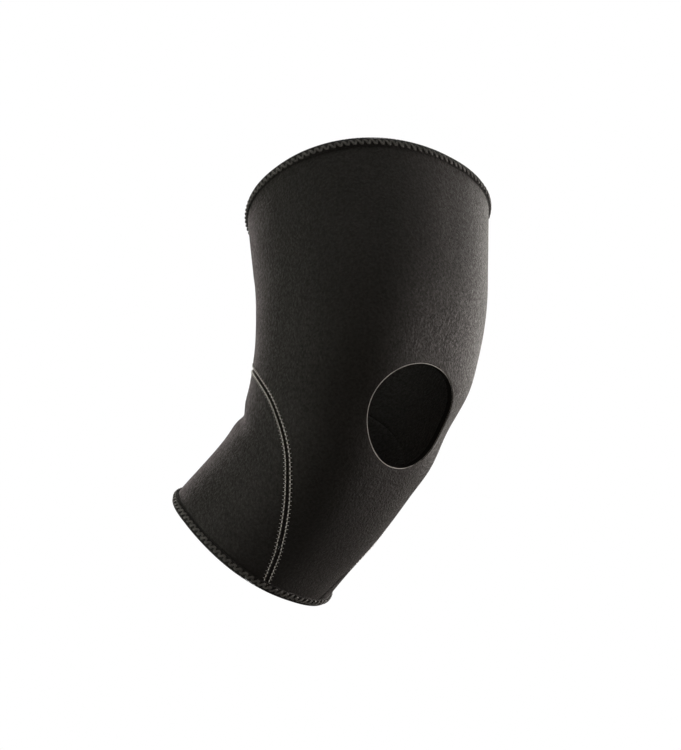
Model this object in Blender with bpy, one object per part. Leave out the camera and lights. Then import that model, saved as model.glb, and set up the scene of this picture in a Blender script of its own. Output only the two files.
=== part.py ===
import math

import bpy

# Pull-on knee sleeve kept in its bent shape. The knee centre is the origin, +X is the front
# where the kneecap opening is, +Y is one side and +Z is up the thigh. Lengths are in metres.

# Length of the sleeve either side of the knee centre, measured along the limb
THIGH_LENGTH = 0.125
SHIN_LENGTH = 0.1165

# Bend: thigh and shin lean back from upright, joined by one even curve
THIGH_LEAN = math.radians(2.0)
SHIN_LEAN = math.radians(61.0)
BEND_RADIUS = 0.136

# Half sizes of the ring round the knee centre
KNEE_HALF_WIDTH = 0.0614
KNEE_FRONT_DEPTH = 0.0609
KNEE_BACK_DEPTH = 0.0601

# How far the two edges ride up at the front and down at the back
TOP_EDGE_TILT = 0.0065
BOTTOM_EDGE_TILT = 0.0121

# Squareness of the rings, 2.0 being a plain oval
RING_SQUARENESS = 2.12

# Padded cloth of both panels, and the air left between neighbouring pieces
CLOTH_THICKNESS = 0.0035
GAP = 0.0003

# Kneecap opening: half sizes along the limb and round it, and its centre below the knee centre
OPENING_HALF_HEIGHT = 0.0220
OPENING_HALF_WIDTH = 0.0310
OPENING_CENTRE_DROP = 0.0010

# Edge finish: how far it reaches over the cloth and how thick it is
HEM_WIDTH = 0.0050
HEM_THICKNESS = 0.0008

# Rings along the limb
# along: share of thigh length (minus) or shin length (plus), width, front, back: shares of the knee ring
RINGS = [
    (-1.00, 1.243, 1.105, 1.193),
    (-0.65, 1.174, 1.085, 1.140),
    (-0.30, 1.106, 1.056, 1.077),
    (0.00, 1.000, 1.000, 1.000),
    (0.30, 0.888, 0.952, 0.917),
    (0.65, 0.834, 0.949, 0.860),
    (1.00, 0.860, 0.984, 0.837),
]

# Seam between the two panels, from the arch behind the knee to the bottom edge beside the shin
# round: share of the half turn from the front, down: share of the shin length below the knee centre
SEAM = [
    (1.000, 0.045),
    (0.833, 0.055),
    (0.658, 0.086),
    (0.517, 0.150),
    (0.417, 0.237),
    (0.347, 0.324),
    (0.297, 0.414),
    (0.239, 0.531),
    (0.183, 0.665),
    (0.150, 0.800),
    (0.128, 0.900),
]

# Number of divisions
COLUMNS_ROUND_HALF = 32
COLUMNS_SHIN_FRONT = 4
ROWS_ABOVE_OPENING = 5
ROWS_BESIDE_OPENING = 10
ROWS_BELOW_OPENING = 4
ROWS_BACK_PANEL = 9
COLUMNS_OPENING_HALF = 8
OPENING_STEPS = (0.0, 0.38, 0.74, 1.0)

# Points worked out between two rows of the seam table, and the step that slopes are taken over
SEAM_POINTS_PER_ROW = 24
SLOPE_STEP = 1e-5

# Hem section: where its rounded end turns, as shares of its own and of the cloth's thickness
HEM_SHOULDER = 0.8
HEM_SHOULDER_RISE = 0.4
HEM_END_FLAT = 0.28

# Rows beside the hems start this share of a hem width from the cloth's edge
HEM_CLEARANCE_SHARE = 1.2

# Turn between two faces above which their edge is shaded sharp
SHARP_ANGLE = math.radians(40)

# Where the finely divided patch round the opening starts and ends, as shares of the front length
PATCH_TOP_SHARE = 0.345
PATCH_BOTTOM_SHARE = 0.755

FABRIC_SPECS = {
    "front_panel": ("front_fabric", (0.026, 0.024, 0.024, 1.0), 0.86),
    "back_panel": ("back_fabric", (0.024, 0.022, 0.022, 1.0), 0.88),
    "top_hem": ("top_hem_thread", (0.045, 0.043, 0.043, 1.0), 0.80),
    "bottom_hem": ("bottom_hem_thread", (0.045, 0.043, 0.043, 1.0), 0.80),
}


def mix(a, b, t):
    return a + (b - a) * t


def smooth_curve(t, a, b, slope_a, slope_b):
    """Cubic from a to b over t 0..1 with the given end slopes."""
    t2 = t * t
    t3 = t2 * t
    return (
        (2 * t3 - 3 * t2 + 1) * a
        + (t3 - 2 * t2 + t) * slope_a
        + (3 * t2 - 2 * t3) * b
        + (t3 - t2) * slope_b
    )


def ring_value(along, column):
    """Smooth value of one column of the ring table at a place along the limb."""
    along = min(max(along, RINGS[0][0]), RINGS[-1][0])
    last = len(RINGS) - 1
    i = 0
    while i < last - 1 and along > RINGS[i + 1][0]:
        i += 1

    def slope(k):
        a = max(k - 1, 0)
        b = min(k + 1, last)
        return (RINGS[b][column] - RINGS[a][column]) / (RINGS[b][0] - RINGS[a][0])

    step = RINGS[i + 1][0] - RINGS[i][0]
    t = (along - RINGS[i][0]) / step
    return smooth_curve(t, RINGS[i][column], RINGS[i + 1][column], slope(i) * step, slope(i + 1) * step)


def limb_frame(s):
    """Centre point and forward direction of the ring at s, a length down the limb."""
    middle = (SHIN_LEAN - THIGH_LEAN) / 2
    half_bend = (SHIN_LEAN + THIGH_LEAN) / 2
    arc_end = BEND_RADIUS * half_bend
    s_arc = min(max(s, -arc_end), arc_end)
    lean = middle + s_arc / BEND_RADIUS
    x = BEND_RADIUS * (math.cos(lean) - math.cos(middle))
    z = -BEND_RADIUS * (math.sin(lean) - math.sin(middle))
    x -= math.sin(lean) * (s - s_arc)
    z -= math.cos(lean) * (s - s_arc)
    return x, z, math.cos(lean), -math.sin(lean)


def on_sleeve(s, turn, inward=0.0):
    """Point on the outer face, or that far inside it; turn is 0 at the front."""
    x, z, forward_x, forward_z = limb_frame(s)
    along = s / (THIGH_LENGTH if s < 0 else SHIN_LENGTH)
    width = KNEE_HALF_WIDTH * ring_value(along, 1) - inward
    c = math.cos(turn)
    n = math.sin(turn)
    if c > 0:
        depth = KNEE_FRONT_DEPTH * ring_value(along, 2) - inward
    else:
        depth = KNEE_BACK_DEPTH * ring_value(along, 3) - inward
    p = RING_SQUARENESS
    r = (abs(c) ** p + abs(n) ** p) ** (-1 / p)
    return (x + forward_x * depth * r * c, width * r * n, z + forward_z * depth * r * c)


def top_edge(turn):
    return -THIGH_LENGTH - TOP_EDGE_TILT * math.cos(turn)


def bottom_edge(turn):
    return SHIN_LENGTH - BOTTOM_EDGE_TILT * math.cos(turn)


def distance(a, b):
    return math.sqrt(sum((p - q) ** 2 for p, q in zip(a, b)))


def seam_curve(count):
    """Evenly spaced points (s, turn) of the seam on one side, bottom edge first."""
    rows = [(r * math.pi, d * SHIN_LENGTH) for r, d in SEAM]
    end_turn = rows[-1][0]
    rows[-1] = (end_turn, bottom_edge(end_turn))
    mirrored = (2 * math.pi - rows[1][0], rows[1][1])
    dense = []
    for i in range(len(rows) - 1):
        before = rows[i - 1] if i > 0 else mirrored
        after = rows[i + 2] if i + 2 < len(rows) else rows[i + 1]
        a = rows[i]
        b = rows[i + 1]
        for k in range(SEAM_POINTS_PER_ROW):
            t = k / SEAM_POINTS_PER_ROW
            turn = smooth_curve(t, a[0], b[0], (b[0] - before[0]) / 2, (after[0] - a[0]) / 2)
            s = smooth_curve(t, a[1], b[1], (b[1] - before[1]) / 2, (after[1] - a[1]) / 2)
            dense.append((s, turn))
    dense.append((rows[-1][1], rows[-1][0]))
    dense.reverse()
    lengths = [0.0]
    for a, b in zip(dense, dense[1:]):
        lengths.append(lengths[-1] + distance(on_sleeve(*a), on_sleeve(*b)))
    result = []
    j = 0
    for i in range(count + 1):
        goal = lengths[-1] * i / count
        while j < len(lengths) - 2 and lengths[j + 1] < goal:
            j += 1
        t = (goal - lengths[j]) / (lengths[j + 1] - lengths[j])
        result.append((mix(dense[j][0], dense[j + 1][0], t), mix(dense[j][1], dense[j + 1][1], t)))
    return result


def moved_across(points, i, amount):
    """A seam point moved across the seam on the sleeve face, plus being towards the back panel."""
    s, turn = points[i]
    here = on_sleeve(s, turn)
    size_down = distance(here, on_sleeve(s + SLOPE_STEP, turn)) / SLOPE_STEP
    size_round = distance(here, on_sleeve(s, turn + SLOPE_STEP)) / SLOPE_STEP
    a = points[max(i - 1, 0)]
    b = points[min(i + 1, len(points) - 1)]
    along_down = (b[0] - a[0]) * size_down
    along_round = (b[1] - a[1]) * size_round
    length = math.hypot(along_down, along_round)
    if i == 0:
        # on the bottom edge the point slides along that edge only
        new_turn = turn + amount * length / -along_down / size_round
        return (bottom_edge(new_turn), new_turn)
    if i == len(points) - 1:
        return (s + amount / size_down, turn)
    across_down = amount * along_round / length
    across_round = -amount * along_down / length
    return (s + across_down / size_down, turn + across_round / size_round)


def mirrored_ring(half):
    """Full ring of (s, turn) from a half ring running from the front to the back."""
    inner = [(s, -turn) for s, turn in half[1:-1]]
    return half + inner[::-1]


def padded_sheet(points, faces, thickness):
    """Closed wall from a sheet of faces on the outer side of the sleeve."""
    count = len(points)
    verts = [on_sleeve(s, turn) for s, turn in points]
    verts += [on_sleeve(s, turn, thickness) for s, turn in points]
    solid = [tuple(f) for f in faces]
    solid += [tuple(v + count for v in reversed(f)) for f in faces]
    used = {}
    for f in faces:
        for a, b in zip(f, f[1:] + f[:1]):
            used[(a, b)] = True
    for a, b in used:
        if (b, a) not in used:
            solid.append((b, a, a + count, b + count))
    return verts, solid


def signed_volume(verts, faces):
    total = 0.0
    for f in faces:
        a = verts[f[0]]
        for i in range(1, len(f) - 1):
            b = verts[f[i]]
            c = verts[f[i + 1]]
            total += (
                a[0] * (b[1] * c[2] - b[2] * c[1])
                - a[1] * (b[0] * c[2] - b[2] * c[0])
                + a[2] * (b[0] * c[1] - b[1] * c[0])
            )
    return total / 6


def add_piece(name, verts, faces):
    if signed_volume(verts, faces) < 0:
        faces = [tuple(reversed(f)) for f in faces]
    mesh = bpy.data.meshes.new(name)
    mesh.from_pydata(verts, [], faces)
    mesh.update()
    mesh.shade_smooth()
    mesh.set_sharp_from_angle(angle=SHARP_ANGLE)
    piece = bpy.data.objects.new(name, mesh)
    bpy.context.scene.collection.objects.link(piece)
    slot, colour, roughness = FABRIC_SPECS[name]
    material = bpy.data.materials.new(slot)
    material.use_nodes = True
    shader = material.node_tree.nodes["Principled BSDF"]
    shader.inputs["Base Color"].default_value = colour
    shader.inputs["Roughness"].default_value = roughness
    shader.inputs["Metallic"].default_value = 0.0
    mesh.materials.append(material)
    return piece


def front_panel(seam):
    """Thigh tube and shin front in one sheet, with the kneecap opening."""
    shift = -GAP / 2
    bottom = []
    corner = moved_across(seam, 0, shift)
    for j in range(COLUMNS_SHIN_FRONT):
        turn = corner[1] * j / COLUMNS_SHIN_FRONT
        bottom.append((bottom_edge(turn), turn))
    bottom.append(corner)
    for i in range(1, len(seam)):
        bottom.append(moved_across(seam, i, shift))
    half = COLUMNS_ROUND_HALF
    tops = [(top_edge(math.pi * j / half), math.pi * j / half) for j in range(half + 1)]

    # shares of the way down, the patch round the opening being the finest
    shares = [PATCH_TOP_SHARE * i / ROWS_ABOVE_OPENING for i in range(ROWS_ABOVE_OPENING)]
    for i in range(ROWS_BESIDE_OPENING):
        shares.append(mix(PATCH_TOP_SHARE, PATCH_BOTTOM_SHARE, i / ROWS_BESIDE_OPENING))
    for i in range(ROWS_BELOW_OPENING + 1):
        shares.append(mix(PATCH_BOTTOM_SHARE, 1.0, i / ROWS_BELOW_OPENING))
    under_hem = HEM_WIDTH * HEM_CLEARANCE_SHARE
    rows = [tops]
    for share in shares:
        row = []
        for top, low in zip(tops, bottom):
            first = top[0] + under_hem
            last = low[0] - under_hem
            s = mix(first, last, share)
            row.append((s, mix(top[1], low[1], share * share)))
        rows.append(row)
    rows.append(bottom)
    rings = [mirrored_ring(row) for row in rows]
    columns = len(rings[0])
    points = [p for ring in rings for p in ring]

    def at(i, j):
        return i * columns + j % columns

    patch_first = ROWS_ABOVE_OPENING + 1
    patch_last = patch_first + ROWS_BESIDE_OPENING
    reach = COLUMNS_OPENING_HALF
    faces = []
    for i in range(len(rings) - 1):
        for j in range(columns):
            near = j if j < columns // 2 else j - columns
            inside = -reach <= near < reach and patch_first <= i < patch_last
            if not inside:
                faces.append((at(i, j), at(i + 1, j), at(i + 1, j + 1), at(i, j + 1)))

    # edge of the patch, from the middle of its top and round through the plus side
    edge = [at(patch_first, j) for j in range(0, reach)]
    edge += [at(i, reach) for i in range(patch_first, patch_last)]
    edge += [at(patch_last, j) for j in range(reach, -reach, -1)]
    edge += [at(i, -reach) for i in range(patch_last, patch_first, -1)]
    edge += [at(patch_first, j) for j in range(-reach, 0)]
    count = len(edge)
    half_turn = OPENING_HALF_WIDTH / KNEE_FRONT_DEPTH
    opening = []
    for k in range(count):
        t = 2 * math.pi * k / count
        opening.append((OPENING_CENTRE_DROP - OPENING_HALF_HEIGHT * math.cos(t), half_turn * math.sin(t)))
    loops = [edge]
    for step in OPENING_STEPS[1:]:
        loop = []
        for k in range(count):
            outer = points[edge[k]]
            loop.append(len(points))
            points.append((mix(outer[0], opening[k][0], step), mix(outer[1], opening[k][1], step)))
        loops.append(loop)
    for outer, inner in zip(loops, loops[1:]):
        for k in range(count):
            m = (k + 1) % count
            faces.append((outer[k], inner[k], inner[m], outer[m]))
    return padded_sheet(points, faces, CLOTH_THICKNESS)


def back_panel(seam):
    """Arched calf sheet from behind the knee to the bottom edge."""
    shift = GAP / 2
    side = [moved_across(seam, i, shift) for i in range(len(seam))]
    other = [(s, 2 * math.pi - turn) for s, turn in side[:-1]]
    upper = side + other[::-1]
    columns = len(upper) - 1
    first_turn = upper[0][1]
    last_turn = upper[-1][1]
    points = []
    index = []
    for k in range(columns + 1):
        turn = mix(first_turn, last_turn, k / columns)
        low = (bottom_edge(turn), turn)
        high = upper[k]
        if k in (0, columns):
            points.append(low)
            index.append([len(points) - 1] * (ROWS_BACK_PANEL + 1))
            continue
        column = []
        for m in range(ROWS_BACK_PANEL + 1):
            t = m / ROWS_BACK_PANEL
            column.append(len(points))
            points.append((mix(high[0], low[0], t), mix(high[1], low[1], t)))
        index.append(column)
    faces = []
    for k in range(columns):
        for m in range(ROWS_BACK_PANEL):
            quad = (index[k][m], index[k][m + 1], index[k + 1][m + 1], index[k + 1][m])
            face = []
            for v in quad:
                if v not in face:
                    face.append(v)
            faces.append(tuple(face))
    return padded_sheet(points, faces, CLOTH_THICKNESS)


def hem(turns, edge, inwards):
    """Edge finish folded over the cloth; inwards is +1 or -1, the way into the sleeve along s."""
    g = GAP
    t = HEM_THICKNESS
    w = HEM_WIDTH
    far = CLOTH_THICKNESS
    # along: into the sleeve from the cloth edge, out: away from the outer face
    profile = [
        (w, g),
        (w, g + t),
        (t, g + t),
        (-HEM_SHOULDER * t, g + HEM_SHOULDER_RISE * t),
        (-g - t, -HEM_END_FLAT * far),
        (-g - t, (HEM_END_FLAT - 1) * far),
        (-HEM_SHOULDER * t, -far - g - HEM_SHOULDER_RISE * t),
        (t, -far - g - t),
        (w, -far - g - t),
        (w, -far - g),
        (-g, -far - g),
        (-g, g),
    ]
    verts = []
    for turn in turns:
        for along, out in profile:
            verts.append(on_sleeve(edge(turn) + inwards * along, turn, -out))
    n = len(profile)
    count = len(turns)
    faces = []
    for j in range(count):
        for i in range(n):
            a = j * n + i
            b = j * n + (i + 1) % n
            c = ((j + 1) % count) * n + (i + 1) % n
            d = ((j + 1) % count) * n + i
            faces.append((a, b, c, d))
    return verts, faces


def build():
    for old in list(bpy.data.objects):
        bpy.data.objects.remove(old)
    seam = seam_curve(COLUMNS_ROUND_HALF - COLUMNS_SHIN_FRONT)
    add_piece("front_panel", *front_panel(seam))
    add_piece("back_panel", *back_panel(seam))

    top_turns = [math.pi * j / COLUMNS_ROUND_HALF for j in range(2 * COLUMNS_ROUND_HALF)]
    add_piece("top_hem", *hem(top_turns, top_edge, 1))

    end_turn = seam[0][1]
    front_columns = 2 * COLUMNS_SHIN_FRONT
    bottom_turns = [mix(-end_turn, end_turn, j / front_columns) for j in range(front_columns)]
    back_columns = 2 * (len(seam) - 1)
    for j in range(back_columns):
        bottom_turns.append(mix(end_turn, 2 * math.pi - end_turn, j / back_columns))
    add_piece("bottom_hem", *hem(bottom_turns, bottom_edge, -1))


build()
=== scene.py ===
import math

import bpy
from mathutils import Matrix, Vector, noise


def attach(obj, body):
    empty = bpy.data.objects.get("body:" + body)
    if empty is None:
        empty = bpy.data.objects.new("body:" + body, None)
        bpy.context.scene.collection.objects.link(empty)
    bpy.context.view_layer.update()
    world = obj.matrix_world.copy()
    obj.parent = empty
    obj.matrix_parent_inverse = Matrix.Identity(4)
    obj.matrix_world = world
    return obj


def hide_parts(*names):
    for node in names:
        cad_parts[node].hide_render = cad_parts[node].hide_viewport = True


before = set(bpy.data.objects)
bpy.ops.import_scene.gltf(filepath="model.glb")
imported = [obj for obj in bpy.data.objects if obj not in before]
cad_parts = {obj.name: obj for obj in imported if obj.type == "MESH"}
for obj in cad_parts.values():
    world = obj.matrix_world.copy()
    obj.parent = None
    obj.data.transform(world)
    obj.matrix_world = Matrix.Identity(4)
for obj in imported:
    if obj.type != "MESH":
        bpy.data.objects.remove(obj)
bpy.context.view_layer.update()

# The sleeve's own sizes in metres, as in its solids. +X is the front, +Z is up the thigh.
THIGH_LENGTH = 0.125
SHIN_LENGTH = 0.1165
THIGH_LEAN = math.radians(2.0)
SHIN_LEAN = math.radians(61.0)
BEND_RADIUS = 0.136
KNEE_HALF_WIDTH = 0.0614
KNEE_FRONT_DEPTH = 0.0609
KNEE_BACK_DEPTH = 0.0601
TOP_EDGE_TILT = 0.0065
BOTTOM_EDGE_TILT = 0.0121
RING_SQUARENESS = 2.12
CLOTH_THICKNESS = 0.0035
OPENING_HALF_HEIGHT = 0.0220
OPENING_HALF_WIDTH = 0.0310
OPENING_CENTRE_DROP = 0.0010
HEM_WIDTH = 0.0050

# Each row: place along the limb, a share of the thigh length (minus) or the shin length (plus),
# then the ring's half width, front depth and back depth, as shares of the knee ring's
RINGS = [
    (-1.00, 1.243, 1.105, 1.193),
    (-0.65, 1.174, 1.085, 1.140),
    (-0.30, 1.106, 1.056, 1.077),
    (0.00, 1.000, 1.000, 1.000),
    (0.30, 0.888, 0.952, 0.917),
    (0.65, 0.834, 0.949, 0.860),
    (1.00, 0.860, 0.984, 0.837),
]

# Each row: share of the half turn from the front, share of the shin length below the knee centre.
# The last row's own length isn't used: the seam ends on the bottom edge.
SEAM = [
    (1.000, 0.045),
    (0.833, 0.055),
    (0.658, 0.086),
    (0.517, 0.150),
    (0.417, 0.237),
    (0.347, 0.324),
    (0.297, 0.414),
    (0.239, 0.531),
    (0.183, 0.665),
    (0.150, 0.800),
    (0.128, 0.900),
]

# Finer form of the worn cloth: where it stands off or sinks in from the plain rings
FRONT_FULLNESS = 0.0013
FULLNESS_TURN = math.radians(42.0)
FULLNESS_SPREAD = math.radians(26.0)
KNEECAP_PULL = 0.0010
KNEECAP_PULL_AT = 0.0210
KNEECAP_PULL_REACH = 0.0100
CREASE_DEPTH = 0.0026
CREASE_AT = 0.0460
CREASE_REACH = 0.0075
CREASE_FIRST_TURN = math.radians(88.0)
CREASE_FULL_TURN = math.radians(128.0)
TOP_EDGE_BACK_DROP = 0.0007
TOP_EDGE_SETTLE = 0.0015
BOTTOM_EDGE_HOLLOW = 0.0014

# Mesh fineness of the cloth
COLUMNS_ROUND_HALF = 132
COLUMNS_SHIN_FRONT = 18
ROWS_ABOVE_OPENING = 22
ROWS_BESIDE_OPENING = 34
ROWS_BELOW_OPENING = 18
ROWS_BACK_PANEL = 44
COLUMNS_OPENING_HALF = 33
SEAM_POINTS_PER_ROW = 24
SEAM_END_COLUMNS = 6
SLOPE_STEP = 1e-5
SHARP_ANGLE = math.radians(55)
# Shares of the front panel's length between which the patch round the opening lies
PATCH_TOP_SHARE = 0.345
PATCH_BOTTOM_SHARE = 0.755
# Shares of the way from that patch's edge to the rounding of the opening
PATCH_LOOPS = (0.10, 0.20, 0.31, 0.43, 0.55, 0.67, 0.78, 0.87, 0.94)

# The seam's valley, and the distances from the seam at which rows of points follow it
EDGE_ROWS = (0.0, 0.0003, 0.0006, 0.0009, 0.0012, 0.0015, 0.0018, 0.0022, 0.0028, 0.0040)
EDGE_ROWS_MARGIN = 1.5
INSIDE_VALLEY_SHARE = 0.4
SEAM_GAP = 0.00006
SEAM_VALLEY_DEPTH = 0.0010
SEAM_VALLEY_REACH = 0.0008

# The opening's rounded edge: shares of the rounding, outwards and inwards, and a fine light-grey
# line on it, a painted highlight standing in for the light the cut edge catches
OPENING_ROUNDING = 0.0005
ROUNDING_LOOPS = ((1.0, 0.0), (0.62, 0.08), (0.3, 0.28), (0.08, 0.62), (0.0, 1.0))
HIGHLIGHT_LINE_RADIUS = 0.00020
HIGHLIGHT_LINE_UNEVENNESS = 0.00010
HIGHLIGHT_LINE_DEPTH = 0.00022
HIGHLIGHT_LINE_TUCK = 0.00030
HIGHLIGHT_LINE_STEPS = 300
HIGHLIGHT_LINE_SIDES = 7

# Seam thread: two rows of stitches, a short tick outwards from each, and how deep they sink
# towards the bottom edge on the near side and on the far side, where the photo shows none.
# Heights over a stitch and at a tick's ends and middle are in thread radii.
STITCH_PITCH = 0.00245
STITCH_ROW_OFFSET = 0.00150
STITCH_RADIUS = 0.00031
STITCH_HEIGHTS = (-3.0, -1.8, 0.7, 1.3, 0.7, -1.8)
STITCH_POINTS = len(STITCH_HEIGHTS)
STITCH_WOBBLE = 0.00005
STITCH_GROOVE_DEPTH = 0.00022
STITCH_GROOVE_REACH = 0.00045
TICK_RADIUS = 0.00019
TICK_START = 0.0011
TICK_REACH = 0.0031
TICK_POINTS = 6
TICK_END_HEIGHT = -2.0
TICK_HEIGHT = 0.8
SEAM_END_SINK = 0.00012
FAR_SEAM_END_SINK = 0.00120
SEAM_END_LENGTH = 0.050

# Overlock thread of the hems: wraps over the raw edge, under a pair of zigzag loops
GIRTH_STEPS = 720
WRAP_PITCH = 0.00085
WRAP_RADIUS = 0.00036
WRAP_SLANT = 0.0016
WRAP_CAP = 0.0009
WRAP_SLIDE = 0.0002
WRAP_UNEVENNESS = 0.05
LOOP_PITCH = 0.0041
LOOP_SWING = 0.00145
LOOP_CENTRE = 0.0027
LOOP_RISE = 0.00040
LOOP_LEAN = 0.9
LOOP_RADIUS = 0.00038
LOOP_STEPS = 12
THREAD_SIDES = 5

# Pitch of the knit's wales and courses
WALE_PITCH = 0.00060
COURSE_PITCH = 0.00050

# Floor and lights
FLOOR_HALF = 40.0
FLOOR_HEIGHT = -1.80
FLOOR_SEEN = 0.88
SURROUND_STRENGTH = 0.06
LIGHT_DISTANCE = 1.3
LIGHT_SIZE = 0.6

# Camera: its turn from the front towards -Y, its height angle, its distance, and the real size
# of a pixel
CAMERA_TURN = math.radians(45.3)
CAMERA_RISE = math.radians(-23.6)
CAMERA_DISTANCE = 1.4
METRES_PER_PIXEL = 0.0006
SENSOR_WIDTH = 36.0
IMAGE_WIDTH = 681
IMAGE_HEIGHT = 750
# Where the knee centre shows in the picture, in pixels
KNEE_PIXEL = (350.6, 394.1)


def mix(a, b, t):
    """The value at share t of the way from a to b."""
    return a + (b - a) * t


def ease(t):
    """Smooth step from 0 to 1."""
    t = min(max(t, 0.0), 1.0)
    return t * t * (3 - 2 * t)


def hump(x, centre, reach):
    """A bell of height 1."""
    return math.exp(-(((x - centre) / reach) ** 2))


def smooth_curve(t, a, b, slope_a, slope_b):
    """Cubic from a to b with the given slopes at its ends."""
    t2 = t * t
    t3 = t2 * t
    return (
        (2 * t3 - 3 * t2 + 1) * a
        + (t3 - 2 * t2 + t) * slope_a
        + (3 * t2 - 2 * t3) * b
        + (t3 - t2) * slope_b
    )


def ring_value(along, column):
    """A column of RINGS, smoothly between its rows."""
    along = min(max(along, RINGS[0][0]), RINGS[-1][0])
    last = len(RINGS) - 1
    i = 0
    while i < last - 1 and along > RINGS[i + 1][0]:
        i += 1

    def slope(k):
        a = max(k - 1, 0)
        b = min(k + 1, last)
        return (RINGS[b][column] - RINGS[a][column]) / (RINGS[b][0] - RINGS[a][0])

    step = RINGS[i + 1][0] - RINGS[i][0]
    t = (along - RINGS[i][0]) / step
    low = RINGS[i][column]
    high = RINGS[i + 1][column]
    return smooth_curve(t, low, high, slope(i) * step, slope(i + 1) * step)


def limb_frame(s):
    """Centre point and forward direction of the ring at s, a length down the limb."""
    middle = (SHIN_LEAN - THIGH_LEAN) / 2
    half_bend = (SHIN_LEAN + THIGH_LEAN) / 2
    arc_end = BEND_RADIUS * half_bend
    s_arc = min(max(s, -arc_end), arc_end)
    lean = middle + s_arc / BEND_RADIUS
    x = BEND_RADIUS * (math.cos(lean) - math.cos(middle))
    z = -BEND_RADIUS * (math.sin(lean) - math.sin(middle))
    x -= math.sin(lean) * (s - s_arc)
    z -= math.cos(lean) * (s - s_arc)
    return x, z, math.cos(lean), -math.sin(lean)


def relief(s, turn):
    """How far the worn cloth stands off the plain ring: full at the sides, creased behind."""
    turn = abs((turn + math.pi) % (2 * math.pi) - math.pi)
    side = hump(turn, FULLNESS_TURN, FULLNESS_SPREAD)
    at_opening = hump(s, OPENING_CENTRE_DROP, KNEECAP_PULL_REACH)
    pull_above = hump(s, -KNEECAP_PULL_AT, KNEECAP_PULL_REACH)
    pull = pull_above + hump(s, KNEECAP_PULL_AT, KNEECAP_PULL_REACH)
    out = side * (FRONT_FULLNESS * (1 - at_opening) + KNEECAP_PULL * pull)
    behind = ease((turn - CREASE_FIRST_TURN) / (CREASE_FULL_TURN - CREASE_FIRST_TURN))
    return out - behind * CREASE_DEPTH * hump(s, CREASE_AT, CREASE_REACH)


def on_sleeve(s, turn, inward=0.0):
    """Point on the outer face, or that far inside it; turn is 0 at the front."""
    x, z, forward_x, forward_z = limb_frame(s)
    along = s / (THIGH_LENGTH if s < 0 else SHIN_LENGTH)
    stand = relief(s, turn) - inward
    width = KNEE_HALF_WIDTH * ring_value(along, 1) + stand
    c = math.cos(turn)
    n = math.sin(turn)
    if c > 0:
        depth = KNEE_FRONT_DEPTH * ring_value(along, 2) + stand
    else:
        depth = KNEE_BACK_DEPTH * ring_value(along, 3) + stand
    p = RING_SQUARENESS
    r = (abs(c) ** p + abs(n) ** p) ** (-1 / p)
    return Vector((x + forward_x * depth * r * c, width * r * n, z + forward_z * depth * r * c))


def directions(s, turn):
    """Unit directions down the limb, round it and out of it."""
    down = on_sleeve(s + SLOPE_STEP, turn) - on_sleeve(s - SLOPE_STEP, turn)
    around = on_sleeve(s, turn + SLOPE_STEP) - on_sleeve(s, turn - SLOPE_STEP)
    down.normalize()
    out = down.cross(around).normalized()
    return down, out.cross(down), out


def top_edge(turn):
    """Length s of the top edge at a turn."""
    c = math.cos(turn)
    return TOP_EDGE_SETTLE - THIGH_LENGTH - TOP_EDGE_TILT * c + TOP_EDGE_BACK_DROP * (1 - c) ** 2


def bottom_edge(turn):
    """Length s of the bottom edge at a turn."""
    c = math.cos(turn)
    return SHIN_LENGTH - BOTTOM_EDGE_TILT * c - BOTTOM_EDGE_HOLLOW * (1 - c * c)


def seam_curve(count):
    """Evenly spaced points (s, turn) of the seam on one side, bottom edge first, and its length."""
    rows = [(r * math.pi, d * SHIN_LENGTH) for r, d in SEAM]
    end_turn = rows[-1][0]
    rows[-1] = (end_turn, bottom_edge(end_turn))
    mirrored = (2 * math.pi - rows[1][0], rows[1][1])
    dense = []
    for i in range(len(rows) - 1):
        before = rows[i - 1] if i > 0 else mirrored
        after = rows[i + 2] if i + 2 < len(rows) else rows[i + 1]
        a = rows[i]
        b = rows[i + 1]
        for k in range(SEAM_POINTS_PER_ROW):
            t = k / SEAM_POINTS_PER_ROW
            turn = smooth_curve(t, a[0], b[0], (b[0] - before[0]) / 2, (after[0] - a[0]) / 2)
            s = smooth_curve(t, a[1], b[1], (b[1] - before[1]) / 2, (after[1] - a[1]) / 2)
            dense.append((s, turn))
    dense.append((rows[-1][1], rows[-1][0]))
    dense.reverse()
    places = [on_sleeve(*p) for p in dense]
    lengths = [0.0]
    for a, b in zip(places, places[1:]):
        lengths.append(lengths[-1] + (b - a).length)
    result = []
    j = 0
    for i in range(count + 1):
        goal = lengths[-1] * i / count
        while j < len(lengths) - 2 and lengths[j + 1] < goal:
            j += 1
        t = (goal - lengths[j]) / (lengths[j + 1] - lengths[j])
        result.append((mix(dense[j][0], dense[j + 1][0], t), mix(dense[j][1], dense[j + 1][1], t)))
    return result, lengths[-1]


def moved_across(points, i, amount):
    """A seam point moved across the seam on the sleeve face, plus being towards the back panel."""
    s, turn = points[i]
    here = on_sleeve(s, turn)
    size_down = (on_sleeve(s + SLOPE_STEP, turn) - here).length / SLOPE_STEP
    size_round = (on_sleeve(s, turn + SLOPE_STEP) - here).length / SLOPE_STEP
    a = points[max(i - 1, 0)]
    b = points[min(i + 1, len(points) - 1)]
    along_down = (b[0] - a[0]) * size_down
    along_round = (b[1] - a[1]) * size_round
    length = math.hypot(along_down, along_round)
    if i == 0:
        # on the bottom edge the point slides along that edge only
        new_turn = turn + amount * length / -along_down / size_round
        return (bottom_edge(new_turn), new_turn)
    if i == len(points) - 1:
        return (s + amount / size_down, turn)
    across_down = amount * along_round / length
    across_round = -amount * along_down / length
    return (s + across_down / size_down, turn + across_round / size_round)


def mirrored_ring(half):
    """Full ring of (s, turn, sunk) from a half ring running from the front to the back."""
    return half + [(s, -turn, sunk) for s, turn, sunk in half[1:-1]][::-1]


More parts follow.
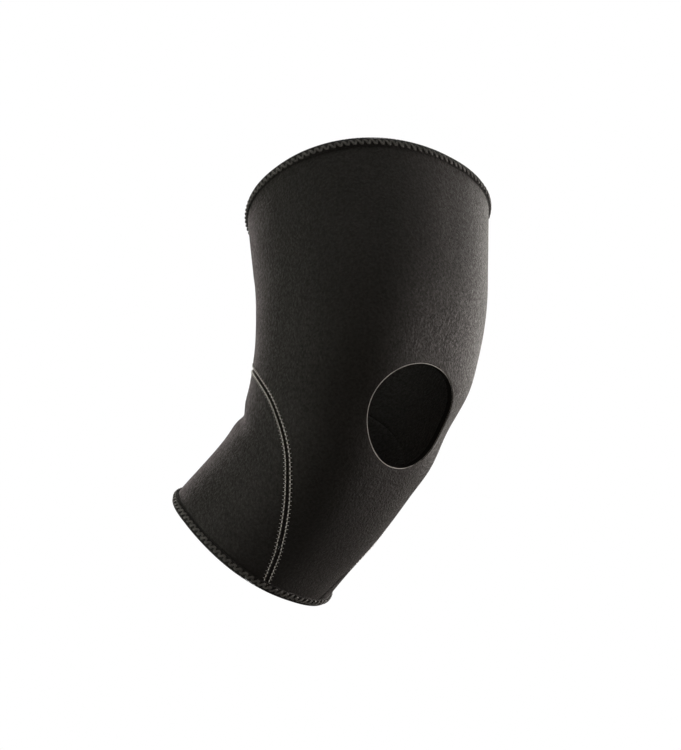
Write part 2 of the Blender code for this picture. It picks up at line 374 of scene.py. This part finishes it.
def sunk_at(distance):
    """How deep the cloth is drawn in at a distance from the seam."""
    groove = STITCH_GROOVE_DEPTH * hump(distance, STITCH_ROW_OFFSET, STITCH_GROOVE_REACH)
    return SEAM_VALLEY_DEPTH * hump(distance, 0.0, SEAM_VALLEY_REACH) + groove


def new_piece(name, verts, faces, uvs, face_uv=None):
    """Smooth mesh object with a uv layer in metres, given by point (uvs) or by face (face_uv)."""
    mesh = bpy.data.meshes.new(name)
    mesh.from_pydata([tuple(v) for v in verts], [], faces)
    mesh.update()
    layer = mesh.uv_layers.new(name="cloth")
    flat = []
    girth = 2 * math.pi * KNEE_HALF_WIDTH
    for polygon in mesh.polygons:
        for k, v in enumerate(polygon.vertices):
            if face_uv:
                flat.extend(face_uv[polygon.index][k])
            else:
                # a face across the back, where the turn starts over, keeps its points together
                laps = round((uvs[polygon.vertices[0]][0] - uvs[v][0]) / girth)
                flat.extend((uvs[v][0] + laps * girth, uvs[v][1]))
    layer.data.foreach_set("uv", flat)
    mesh.polygons.foreach_set("use_smooth", [True] * len(mesh.polygons))
    piece = bpy.data.objects.new(name, mesh)
    bpy.context.scene.collection.objects.link(piece)
    return piece


def padded_sheet(name, points, faces):
    """Closed wall of cloth from a sheet of (s, turn, sunk) points and faces on its outer side."""
    count = len(points)
    outer = []
    inner = []
    uvs = []
    for s, turn, sunk in points:
        out = directions(s, turn)[2]
        outer.append(on_sleeve(s, turn) - out * sunk)
        inner.append(on_sleeve(s, turn, CLOTH_THICKNESS) + out * (INSIDE_VALLEY_SHARE * sunk))
        near = (turn + math.pi) % (2 * math.pi) - math.pi
        uvs.append((near * KNEE_HALF_WIDTH, s))
    solid = [tuple(f) for f in faces]
    solid += [tuple(v + count for v in reversed(f)) for f in faces]
    used = set()
    for f in faces:
        for a, b in zip(f, f[1:] + f[:1]):
            used.add((a, b))
    first_rim = len(solid)
    for a, b in sorted(used):
        if (b, a) not in used:
            solid.append((b, a, a + count, b + count))
    piece = new_piece(name, outer + inner, solid, uvs + uvs)
    for polygon in piece.data.polygons[first_rim:]:
        polygon.material_index = 1
    piece.data.set_sharp_from_angle(angle=SHARP_ANGLE)
    return piece


def opening_point(t, grow=0.0):
    """Point (s, turn) round the kneecap opening, t turning from its top, grown by a distance."""
    half_turn = (OPENING_HALF_WIDTH + grow) / KNEE_FRONT_DEPTH
    s = OPENING_CENTRE_DROP - (OPENING_HALF_HEIGHT + grow * 0.7) * math.cos(t)
    return (s, half_turn * math.sin(t))


def front_cloth(seam):
    """Front panel: rows from the top edge to the bottom edge and the seam, and the opening."""
    corner = moved_across(seam, 0, -SEAM_GAP / 2)
    tops = []
    for j in range(COLUMNS_ROUND_HALF + 1):
        turn = math.pi * j / COLUMNS_ROUND_HALF
        tops.append((top_edge(turn), turn))

    def low_row(distance):
        """Bottom and seam boundary, moved back from the edge by a distance."""
        row = []
        for j in range(COLUMNS_SHIN_FRONT + 1):
            turn = corner[1] * j / COLUMNS_SHIN_FRONT
            row.append((bottom_edge(turn) - distance, turn, 0.0))
        for i in range(1, len(seam)):
            s, turn = moved_across(seam, i, -SEAM_GAP / 2 - distance)
            row.append((s, turn, sunk_at(distance)))
        return row

    shares = [PATCH_TOP_SHARE * i / ROWS_ABOVE_OPENING for i in range(ROWS_ABOVE_OPENING)]
    for i in range(ROWS_BESIDE_OPENING):
        shares.append(mix(PATCH_TOP_SHARE, PATCH_BOTTOM_SHARE, i / ROWS_BESIDE_OPENING))
    for i in range(ROWS_BELOW_OPENING + 1):
        shares.append(mix(PATCH_BOTTOM_SHARE, 1.0, i / ROWS_BELOW_OPENING))
    inner_low = low_row(EDGE_ROWS[-1] * EDGE_ROWS_MARGIN)
    rows = [[(s, turn, 0.0) for s, turn in tops]]
    for share in shares:
        row = []
        for top, low in zip(tops, inner_low):
            s = mix(top[0] + HEM_WIDTH, low[0], share)
            row.append((s, mix(top[1], low[1], share * share), 0.0))
        rows.append(row)
    for distance in reversed(EDGE_ROWS):
        rows.append(low_row(distance))
    rings = [mirrored_ring(row) for row in rows]
    columns = len(rings[0])
    points = [p for ring in rings for p in ring]

    def at(i, j):
        return i * columns + j % columns

    patch_first = ROWS_ABOVE_OPENING + 1
    patch_last = patch_first + ROWS_BESIDE_OPENING
    reach = COLUMNS_OPENING_HALF
    faces = []
    for i in range(len(rings) - 1):
        for j in range(columns):
            near = j if j < columns // 2 else j - columns
            if not (-reach <= near < reach and patch_first <= i < patch_last):
                faces.append((at(i, j), at(i + 1, j), at(i + 1, j + 1), at(i, j + 1)))
    edge = [at(patch_first, j) for j in range(0, reach)]
    edge += [at(i, reach) for i in range(patch_first, patch_last)]
    edge += [at(patch_last, j) for j in range(reach, -reach, -1)]
    edge += [at(i, -reach) for i in range(patch_last, patch_first, -1)]
    edge += [at(patch_first, j) for j in range(-reach, 0)]
    count = len(edge)
    loops = [edge]
    for step in PATCH_LOOPS:
        loop = []
        for k in range(count):
            goal = opening_point(2 * math.pi * k / count, OPENING_ROUNDING)
            outer = points[edge[k]]
            loop.append(len(points))
            points.append((mix(outer[0], goal[0], step), mix(outer[1], goal[1], step), 0.0))
        loops.append(loop)
    for grow, sunk in ROUNDING_LOOPS:
        loop = []
        for k in range(count):
            s, turn = opening_point(2 * math.pi * k / count, OPENING_ROUNDING * grow)
            loop.append(len(points))
            points.append((s, turn, OPENING_ROUNDING * sunk))
        loops.append(loop)
    for outer, inner in zip(loops, loops[1:]):
        for k in range(count):
            m = (k + 1) % count
            faces.append((outer[k], inner[k], inner[m], outer[m]))
    return padded_sheet("front_cloth", points, faces)


def back_cloth(seam):
    """Back panel: columns from the seam, over its arch, to the bottom edge."""

    def side(distance):
        """Seam boundary from one side round to the other, moved in from it by a distance."""
        row = [moved_across(seam, i, SEAM_GAP / 2 + distance) for i in range(len(seam))]
        return row + [(s, 2 * math.pi - turn) for s, turn in row[:-1]][::-1]

    near_rows = [side(d) for d in EDGE_ROWS]
    columns = len(near_rows[0]) - 1
    first_turn = near_rows[0][0][1]
    last_turn = near_rows[0][-1][1]
    points = []
    index = []
    for k in range(columns + 1):
        turn = mix(first_turn, last_turn, k / columns)
        low = (bottom_edge(turn), turn)
        if k in (0, columns):
            points.append((low[0], low[1], sunk_at(0.0)))
            index.append([len(points) - 1] * (ROWS_BACK_PANEL + len(EDGE_ROWS)))
            continue
        column = []
        share = min(1.0, min(k, columns - k) / SEAM_END_COLUMNS)
        start = near_rows[0][k]
        for d, row in zip(EDGE_ROWS, near_rows):
            column.append(len(points))
            s = mix(start[0], row[k][0], share)
            points.append((s, mix(start[1], row[k][1], share), sunk_at(d * share)))
        high = points[column[-1]]
        for m in range(1, ROWS_BACK_PANEL + 1):
            t = m / ROWS_BACK_PANEL
            column.append(len(points))
            points.append((mix(high[0], low[0], t), mix(high[1], low[1], t), high[2] * (1 - t)))
        index.append(column)
    faces = []
    for k in range(columns):
        for m in range(len(index[0]) - 1):
            face = []
            for v in (index[k][m], index[k][m + 1], index[k + 1][m + 1], index[k + 1][m]):
                if v not in face:
                    face.append(v)
            faces.append(tuple(face))
    return padded_sheet("back_cloth", points, faces)


class Strands:
    """Collects round threads into one mesh, with uv running along and round each of them."""

    def __init__(self):
        self.verts = []
        self.faces = []
        self.face_uv = []
        self.kinds = []

    def add(self, path, radius, kind, closed=False, sides=THREAD_SIDES):
        """A thread of a radius along a path; kind is the number of its material."""
        count = len(path)
        first = len(self.verts)
        side = None
        run = [0.0]
        for i, here in enumerate(path):
            before = path[i - 1] if i > 0 or closed else here
            after = path[(i + 1) % count] if i < count - 1 or closed else here
            along = (after - before).normalized()
            if side is None:
                side = along.orthogonal()
            side = (side - along * side.dot(along)).normalized()
            other = along.cross(side)
            for k in range(sides):
                a = 2 * math.pi * k / sides
                self.verts.append(here + (side * math.cos(a) + other * math.sin(a)) * radius)
            run.append(run[-1] + (path[(i + 1) % count] - here).length)
        for i in range(count if closed else count - 1):
            for k in range(sides):
                m = (k + 1) % sides
                a = first + i * sides
                b = first + (i + 1) % count * sides
                self.faces.append((a + k, a + m, b + m, b + k))
                u, w = run[i], run[i + 1]
                v, x = k / sides, (k + 1) / sides
                self.face_uv.append(((u, v), (u, x), (w, x), (w, v)))
                self.kinds.append(kind)
        if not closed:
            last = first + (count - 1) * sides
            self.faces.append(tuple(first + k for k in reversed(range(sides))))
            self.faces.append(tuple(last + k for k in range(sides)))
            self.face_uv.append(((0.0, 0.0),) * sides)
            self.face_uv.append(((run[count - 1], 0.0),) * sides)
            self.kinds.extend((kind, kind))

    def piece(self, name):
        result = new_piece(name, self.verts, self.faces, None, self.face_uv)
        result.data.polygons.foreach_set("material_index", self.kinds)
        return result


def seam_thread():
    """Two rows of stitches along the seam and the finer ticks of thread outwards from them."""
    length = seam_curve(2)[1]
    stitches = int(length / STITCH_PITCH)
    points = seam_curve(stitches * STITCH_POINTS)[0]
    strands = Strands()

    def place(side, i, amount, lift):
        """Point across the seam from its point i; side is 1 on the far side, -1 on the near one."""
        s, turn = moved_across(points, i, amount)
        p = on_sleeve(s, turn) + directions(s, turn)[2] * (lift - sunk_at(abs(amount)))
        return Vector((p.x, p.y * side, p.z))

    hidden = int(HEM_WIDTH * 0.6 / STITCH_PITCH)
    for n in range(hidden, stitches):
        end = ease(1 - (n - hidden) * STITCH_PITCH / SEAM_END_LENGTH)
        for side, end_sink in ((1, FAR_SEAM_END_SINK), (-1, SEAM_END_SINK)):
            sunken = end_sink * end
            for row in (-1, 1):
                wobble = STITCH_WOBBLE * math.sin(2.4 * n + row)
                path = []
                for k in range(STITCH_POINTS + 1):
                    lift = STITCH_HEIGHTS[k % STITCH_POINTS] * STITCH_RADIUS - sunken
                    across = row * STITCH_ROW_OFFSET + wobble
                    path.append(place(side, n * STITCH_POINTS + k, across, lift))
                strands.add(path, STITCH_RADIUS, 0)
                path = []
                for k in range(TICK_POINTS):
                    across = row * mix(TICK_START, TICK_REACH, k / (TICK_POINTS - 1))
                    height = TICK_END_HEIGHT if k in (0, TICK_POINTS - 1) else TICK_HEIGHT
                    lift = height * TICK_RADIUS - sunken
                    path.append(place(side, n * STITCH_POINTS, across, lift))
                strands.add(path, TICK_RADIUS, 1)
    return strands.piece("seam_thread")


def hem_thread(name, edge, inwards):
    """Overlock thread: wraps over the raw edge under zigzag loops that lie along the outer face.

    inwards is 1 where s grows from the edge into the cloth, else -1.
    """
    turns = [2 * math.pi * k / GIRTH_STEPS for k in range(GIRTH_STEPS + 1)]
    ring = [on_sleeve(edge(turn), turn) for turn in turns]
    girth = [0.0]
    for a, b in zip(ring, ring[1:]):
        girth.append(girth[-1] + (b - a).length)

    def turn_at(share):
        """Turn at a share of the way round, measured along the edge."""
        goal = girth[-1] * (share % 1.0)
        low, high = 0, GIRTH_STEPS
        while high - low > 1:
            middle = (low + high) // 2
            if girth[middle] <= goal:
                low = middle
            else:
                high = middle
        t = (goal - girth[low]) / (girth[high] - girth[low])
        return 2 * math.pi * (low + t) / GIRTH_STEPS

    def local(share):
        """Middle of the raw edge there, and the directions into the cloth, round it and out."""
        turn = turn_at(share)
        s = edge(turn)
        down, around, out = directions(s, turn)
        middle = on_sleeve(s, turn) - out * (CLOTH_THICKNESS / 2)
        return middle, down * inwards, around, out

    strands = Strands()
    half = CLOTH_THICKNESS / 2 + WRAP_RADIUS * 0.9
    # one wrap, as reach into the cloth and height over its middle: outer face, raw edge, inner face
    profile = [(HEM_WIDTH, half - 2 * WRAP_RADIUS)]
    profile += [(HEM_WIDTH * 0.93, half), (HEM_WIDTH * 0.45, half)]
    for degrees in (90, 60, 30, 0, -30, -60, -90):
        a = math.radians(degrees)
        profile.append((-WRAP_CAP * math.cos(a), half * math.sin(a)))
    profile += [(HEM_WIDTH * 0.6, -half), (HEM_WIDTH * 0.7, -half + 2 * WRAP_RADIUS)]
    wraps = round(girth[-1] / WRAP_PITCH)
    for n in range(wraps):
        jitter = noise.noise(Vector((n * 0.7, 3.1, inwards)))
        middle, into, around, out = local(n / wraps)
        path = []
        for k, (a, h) in enumerate(profile):
            slide = WRAP_SLANT * (k / (len(profile) - 1) - 0.5) + jitter * WRAP_SLIDE
            reach = a * (1.0 + WRAP_UNEVENNESS * jitter) if k < 2 else a
            path.append(middle + into * reach + out * h + around * slide)
        strands.add(path, WRAP_RADIUS, 0)
    steps = round(girth[-1] / LOOP_PITCH) * LOOP_STEPS
    frames = [local(k / steps) for k in range(steps)]
    for pair in (-1, 1):
        path = []
        for k in range(steps):
            middle, into, around, out = frames[k]
            angle = 2 * math.pi * k / LOOP_STEPS
            across = LOOP_CENTRE + LOOP_SWING * math.sin(angle)
            slide = LOOP_LEAN * LOOP_RADIUS * math.sin(angle) + pair * LOOP_RADIUS * 0.95
            rise = half + 0.6 * WRAP_RADIUS + LOOP_RISE * (1.0 + math.cos(angle))
            path.append(middle + into * across + around * slide + out * rise)
        strands.add(path, LOOP_RADIUS, 1, closed=True)
    return strands.piece(name)


def opening_highlight_line():
    """Painted highlight round the kneecap opening: a fine light-grey line on the cut edge, standing
    in for the light that edge catches.
    """
    strands = Strands()
    path = []
    for k in range(HIGHLIGHT_LINE_STEPS):
        t = 2 * math.pi * k / HIGHLIGHT_LINE_STEPS
        s, turn = opening_point(t, OPENING_ROUNDING * 0.35)
        line_wobble = HIGHLIGHT_LINE_UNEVENNESS * noise.noise(Vector((math.cos(t) * 40, math.sin(t) * 40, 0.0)))
        # on the far side, where the cut edge lies in shade, the painted highlight line tucks in
        # behind the rounding
        tucked = HIGHLIGHT_LINE_TUCK * ease((math.sin(t) - 0.2) / 0.6)
        path.append(on_sleeve(s, turn) + directions(s, turn)[2] * (-HIGHLIGHT_LINE_DEPTH + line_wobble - tucked))
    strands.add(path, HIGHLIGHT_LINE_RADIUS, 0, closed=True, sides=HIGHLIGHT_LINE_SIDES)
    return strands.piece("opening_highlight_line")


class Nodes:
    """Short way to write a material's node tree."""

    def __init__(self, name):
        self.material = bpy.data.materials.new(name)
        self.material.use_nodes = True
        self.tree = self.material.node_tree
        self.shader = self.tree.nodes["Principled BSDF"]

    def fixed(self, **values):
        """Values the same all over the surface, on the shader's own sockets."""
        for key, value in values.items():
            self.shader.inputs[key.replace("_", " ")].default_value = value

    def add(self, kind, **settings):
        """New node with its settings; in_Name sets the value of its input Name."""
        node = self.tree.nodes.new(kind)
        for key, value in settings.items():
            if key.startswith("in_"):
                node.inputs[key[3:].replace("_", " ")].default_value = value
            else:
                setattr(node, key, value)
        return node

    def link(self, a, b):
        self.tree.links.new(a, b)

    def math(self, operation, a, b=None):
        node = self.tree.nodes.new("ShaderNodeMath")
        node.operation = operation
        for socket, value in zip(node.inputs, (a, b)):
            if value is None:
                continue
            if isinstance(value, (int, float)):
                socket.default_value = value
            else:
                self.link(value, socket)
        return node.outputs[0]

    def ramp(self, value, stops):
        node = self.tree.nodes.new("ShaderNodeValToRGB")
        elements = node.color_ramp.elements
        while len(elements) < len(stops):
            elements.new(1.0)
        for element, (position, colour) in zip(elements, stops):
            element.position = position
            element.color = (*colour, 1.0)
        self.link(value, node.inputs[0])
        return node.outputs[0]

    def pattern(self, kind, **settings):
        """Texture that follows the object's own coordinates."""
        place = self.add("ShaderNodeTexCoord")
        node = self.add(kind, **settings)
        self.link(place.outputs["Object"], node.inputs["Vector"])
        return node.outputs[0]

    def noise(self, scale, detail, roughness):
        return self.pattern(
            "ShaderNodeTexNoise", in_Scale=scale, in_Detail=detail, in_Roughness=roughness
        )

    def cloth_uv(self):
        """The two lengths of the uv layer, in metres."""
        uv = self.add("ShaderNodeUVMap", uv_map="cloth")
        split = self.add("ShaderNodeSeparateXYZ")
        self.link(uv.outputs[0], split.inputs[0])
        return split.outputs[0], split.outputs[1]

    def bump(self, height, strength, distance):
        node = self.add("ShaderNodeBump", in_Strength=strength, in_Distance=distance)
        self.link(height, node.inputs["Height"])
        self.link(node.outputs[0], self.shader.inputs["Normal"])

    def spread(self, value, low, high, first=0.0, last=1.0):
        """The value's range from first to last, mapped to the range from low to high."""
        node = self.add(
            "ShaderNodeMapRange",
            in_From_Min=first, in_From_Max=last, in_To_Min=low, in_To_Max=high,
        )
        self.link(value, node.inputs["Value"])
        return node.outputs[0]


def jersey(name, dark, light):
    """Fine knit facing: wales and courses in bump, and fibres that vary in colour."""
    n = Nodes(name)
    round_limb, down_limb = n.cloth_uv()
    wale = n.math("SINE", n.math("MULTIPLY", round_limb, 2 * math.pi / WALE_PITCH))
    down = n.math("MULTIPLY", down_limb, 2 * math.pi / COURSE_PITCH)
    course = n.math("SINE", n.math("ADD", down, n.math("MULTIPLY", wale, 1.2)))
    knit = n.math("ADD", n.math("MULTIPLY", wale, 0.5), n.math("MULTIPLY", course, 0.5))
    fibre = n.noise(720.0, 3.0, 0.7)
    grain = n.noise(620.0, 1.0, 0.5)
    patch = n.noise(30.0, 3.0, 0.55)
    tone = n.math("ADD", n.math("MULTIPLY", fibre, 0.65), n.math("MULTIPLY", patch, 0.35))
    n.link(n.ramp(tone, [(0.36, dark), (0.66, light)]), n.shader.inputs["Base Color"])
    n.link(n.spread(grain, 0.49, 0.76, 0.34, 0.66), n.shader.inputs["Roughness"])
    fuzz = n.math("ADD", fibre, n.math("MULTIPLY", grain, 0.38))
    height = n.math("ADD", n.math("MULTIPLY", knit, 0.08), fuzz)
    n.bump(height, 1.0, 0.00060)
    n.fixed(Specular_IOR_Level=0.25, Sheen_Weight=0.10, Sheen_Roughness=0.35)
    n.fixed(Sheen_Tint=(1.0, 0.95, 0.93, 1.0))
    return n.material


def foam():
    """Cut face of the foam core: closed pores."""
    n = Nodes("foam_core")
    pores = n.pattern("ShaderNodeTexVoronoi", in_Scale=2600.0)
    grain = n.noise(1800.0, 2.0, 0.6)
    tone = n.math("ADD", n.math("MULTIPLY", pores, 0.6), n.math("MULTIPLY", grain, 0.5))
    colour = n.ramp(tone, [(0.2, (0.003, 0.003, 0.003)), (0.8, (0.012, 0.011, 0.010))])
    n.link(colour, n.shader.inputs["Base Color"])
    n.link(n.spread(grain, 0.75, 0.95), n.shader.inputs["Roughness"])
    n.bump(pores, 0.7, 0.00020)
    n.fixed(Specular_IOR_Level=0.15)
    return n.material


def thread(name, dark, light, twist, roughness):
    """Twisted yarn: slanting plies in bump and tone, and colour that drifts along it."""
    n = Nodes(name)
    along_thread, round_thread = n.cloth_uv()
    along = n.math("MULTIPLY", along_thread, 2 * math.pi / twist)
    around = n.math("MULTIPLY", round_thread, 4 * math.pi)
    ply = n.math("SINE", n.math("ADD", along, around))
    drift = n.noise(160.0, 2.0, 0.5)
    fuzz = n.noise(2400.0, 2.0, 0.7)
    grain = n.math("ADD", n.math("MULTIPLY", drift, 0.6), n.math("MULTIPLY", fuzz, 0.4))
    tone = n.math("ADD", n.math("MULTIPLY", ply, 0.14), grain)
    n.link(n.ramp(tone, [(0.34, dark), (0.68, light)]), n.shader.inputs["Base Color"])
    n.link(n.spread(fuzz, roughness - 0.1, roughness + 0.1), n.shader.inputs["Roughness"])
    n.bump(n.math("ADD", n.math("MULTIPLY", ply, 0.5), fuzz), 0.6, 0.00012)
    n.fixed(Specular_IOR_Level=0.35, Sheen_Weight=0.12, Sheen_Roughness=0.4)
    return n.material


def seen_as(nodes, links, shader, seen, output):
    """Shader that camera rays see as another one, so that its brightness lights nothing."""
    ray = nodes.new("ShaderNodeLightPath")
    choose = nodes.new("ShaderNodeMixShader")
    links.new(ray.outputs["Is Camera Ray"], choose.inputs[0])
    links.new(shader.outputs[0], choose.inputs[1])
    links.new(seen.outputs[0], choose.inputs[2])
    links.new(choose.outputs[0], output.inputs["Surface"])


def plain_stage():
    """Plain floor, pale where it is seen, that throws little light back up."""
    mesh = bpy.data.meshes.new("floor")
    corners = ((-1, -1), (1, -1), (1, 1), (-1, 1))
    verts = [(x * FLOOR_HALF, y * FLOOR_HALF, FLOOR_HEIGHT) for x, y in corners]
    mesh.from_pydata(verts, [], [(0, 1, 2, 3)])
    floor = bpy.data.objects.new("floor", mesh)
    bpy.context.scene.collection.objects.link(floor)
    n = Nodes("floor_white")
    n.fixed(Base_Color=(0.60, 0.60, 0.60, 1.0), Roughness=0.9)
    pale = n.add(
        "ShaderNodeEmission",
        in_Color=(FLOOR_SEEN, FLOOR_SEEN, FLOOR_SEEN, 1.0), in_Strength=1.0,
    )
    seen_as(n.tree.nodes, n.tree.links, n.shader, pale, n.tree.nodes["Material Output"])
    mesh.materials.append(n.material)


def area_light(name, place, power, colour):
    """Soft square light that faces the knee centre."""
    light = bpy.data.lights.new(name, "AREA")
    light.energy = power
    light.size = LIGHT_SIZE
    light.color = colour
    lamp = bpy.data.objects.new(name, light)
    lamp.location = place
    lamp.rotation_euler = (-place).to_track_quat("-Z", "Y").to_euler()
    bpy.context.scene.collection.objects.link(lamp)


def view_axes():
    """Unit directions from the knee to the camera, to the picture's right and to its top."""
    back = Vector((
        math.cos(CAMERA_RISE) * math.cos(CAMERA_TURN),
        -math.cos(CAMERA_RISE) * math.sin(CAMERA_TURN),
        math.sin(CAMERA_RISE),
    ))
    right = Vector((math.sin(CAMERA_TURN), math.cos(CAMERA_TURN), 0.0))
    return back, right, back.cross(right)


def lights_and_world():
    """White studio: dim surround, soft lights from the right and weaker ones left and above."""
    world = bpy.data.worlds.new("studio")
    bpy.context.scene.world = world
    world.use_nodes = True
    tree = world.node_tree
    dim = tree.nodes["Background"]
    white = tree.nodes.new("ShaderNodeBackground")
    for background, strength in ((dim, SURROUND_STRENGTH), (white, 1.0)):
        background.inputs["Color"].default_value = (1.0, 1.0, 1.0, 1.0)
        background.inputs["Strength"].default_value = strength
    seen_as(tree.nodes, tree.links, dim, white, tree.nodes["World Output"])
    back, right, up = view_axes()
    # name, turn from the camera to the right in degrees, height in degrees, power, colour
    for name, turn, height, power, colour in (
        ("key", 108.0, -8.0, 18.0, (1.0, 0.90, 0.85)),
        ("key_behind", 140.0, 3.0, 8.2, (1.0, 0.97, 0.91)),
        ("key_front", 60.0, 0.0, 3.4, (1.0, 0.95, 0.85)),
        ("left", -90.0, 0.0, 7.8, (1.0, 0.98, 0.86)),
        ("left_behind", -150.0, 8.0, 3.6, (1.0, 0.88, 0.86)),
        ("front", 0.0, 0.0, 1.2, (1.0, 0.75, 0.5)),
        ("top", 0.0, 80.0, 6.2, (1.0, 0.98, 0.90)),
    ):
        turn = math.radians(turn)
        height = math.radians(height)
        level = back * math.cos(turn) + right * math.sin(turn)
        place = (level * math.cos(height) + up * math.sin(height)) * LIGHT_DISTANCE
        area_light(name, place, power, colour)


def camera():
    """Camera at the photo's viewing angle, placed so that the knee centre falls on its pixel."""
    back, right, up = view_axes()
    side = (IMAGE_WIDTH / 2 - KNEE_PIXEL[0]) * METRES_PER_PIXEL
    rise = (KNEE_PIXEL[1] - IMAGE_HEIGHT / 2) * METRES_PER_PIXEL
    target = right * side + up * rise
    data = bpy.data.cameras.new("camera")
    data.sensor_width = SENSOR_WIDTH
    data.lens = SENSOR_WIDTH * CAMERA_DISTANCE / METRES_PER_PIXEL / IMAGE_HEIGHT
    view = bpy.data.objects.new("camera", data)
    view.location = back * CAMERA_DISTANCE
    view.rotation_euler = (target - view.location).to_track_quat("-Z", "Y").to_euler()
    bpy.context.scene.collection.objects.link(view)
    bpy.context.scene.camera = view
    bpy.context.scene.view_settings.view_transform = "Standard"


def dress(piece, materials, node=None):
    """Give a piece its materials and body, and hide the CAD node it stands for, where it has one.
    """
    for material in materials:
        piece.data.materials.append(material)
    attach(piece, "root")
    if node:
        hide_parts(node)


def main():
    camera()
    lights_and_world()
    plain_stage()
    front_knit = jersey("front_jersey", (0.0045, 0.0042, 0.0038), (0.0120, 0.0112, 0.0105))
    back_knit = jersey("back_jersey", (0.0048, 0.0043, 0.0042), (0.0125, 0.0113, 0.0112))
    core = foam()
    seam_yarn = thread("seam_yarn", (0.72, 0.72, 0.71), (1.0, 1.0, 0.99), 0.0009, 0.55)
    tick_yarn = thread("tick_yarn", (0.30, 0.30, 0.30), (0.70, 0.70, 0.69), 0.0006, 0.6)
    wrap_yarn = thread("wrap_yarn", (0.003, 0.003, 0.003), (0.010, 0.010, 0.010), 0.0011, 0.60)
    loop_yarn = thread("loop_yarn", (0.040, 0.040, 0.040), (0.140, 0.139, 0.136), 0.0011, 0.55)
    # painted highlight: light-grey thread colour for the line round the opening, standing in for
    # light caught by the cut edge
    painted_edge_highlight = thread("painted_edge_highlight", (0.25, 0.25, 0.24), (0.85, 0.84, 0.82), 0.0015, 0.7)
    seam = seam_curve(COLUMNS_ROUND_HALF - COLUMNS_SHIN_FRONT)[0]
    front = front_cloth(seam)
    dress(front, (front_knit, core), "front_panel")
    back = back_cloth(seam)
    dress(back, (back_knit, core), "back_panel")
    edge = opening_highlight_line()
    dress(edge, (painted_edge_highlight,))
    stitches = seam_thread()
    dress(stitches, (seam_yarn, tick_yarn))
    top = hem_thread("top_hem_thread", top_edge, 1)
    dress(top, (wrap_yarn, loop_yarn), "top_hem")
    bottom = hem_thread("bottom_hem_thread", bottom_edge, -1)
    dress(bottom, (wrap_yarn, loop_yarn), "bottom_hem")


main()
